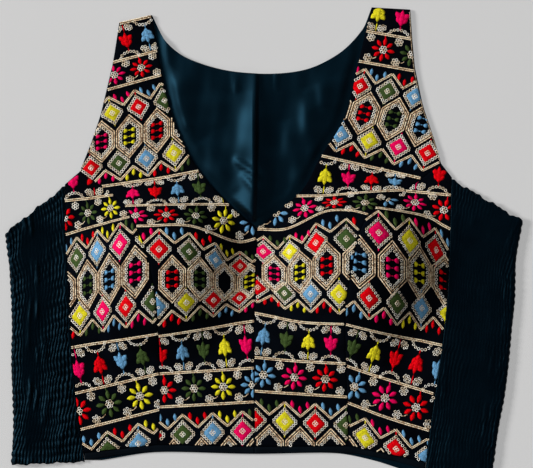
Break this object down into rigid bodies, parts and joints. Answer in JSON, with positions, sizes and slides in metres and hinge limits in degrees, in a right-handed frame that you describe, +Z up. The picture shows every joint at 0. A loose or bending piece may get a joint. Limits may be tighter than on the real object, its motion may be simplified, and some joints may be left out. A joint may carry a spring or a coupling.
{
  "type": "choli blouse",
  "caption": "Sleeveless princess-line choli blouse laid flat, front up, with embroidered fronts over two bust cups, plain back and shirred side panels.",
  "frame": {"origin": "middle of the blouse's box, on the surface it lies on", "axes": "+X to the viewer's right across the blouse, +Y from the hem to the shoulders, +Z up from the surface, out of the front"},
  "size_m": [0.4442, 0.4033, 0.0385],
  "materials": {
    "lining": "dark teal satin, soft sheen",
    "embroidered_cloth": "near-black navy cloth with many-coloured satin stitch, gold thread and sequins",
    "hem_cloth": "plain navy cloth",
    "shirred_cloth": "dark teal-black crinkled cloth gathered on elastic rows"
  },
  "bodies": {
    "root": {"back_panel": "lining", "front_centre_left": "embroidered_cloth", "front_centre_right": "embroidered_cloth", "front_side_left": "embroidered_cloth", "front_side_right": "embroidered_cloth", "hem_band_left": "hem_cloth", "hem_band_right": "hem_cloth", "shirred_side_left": "shirred_cloth", "shirred_side_right": "shirred_cloth"}
  },
  "joints": []
}
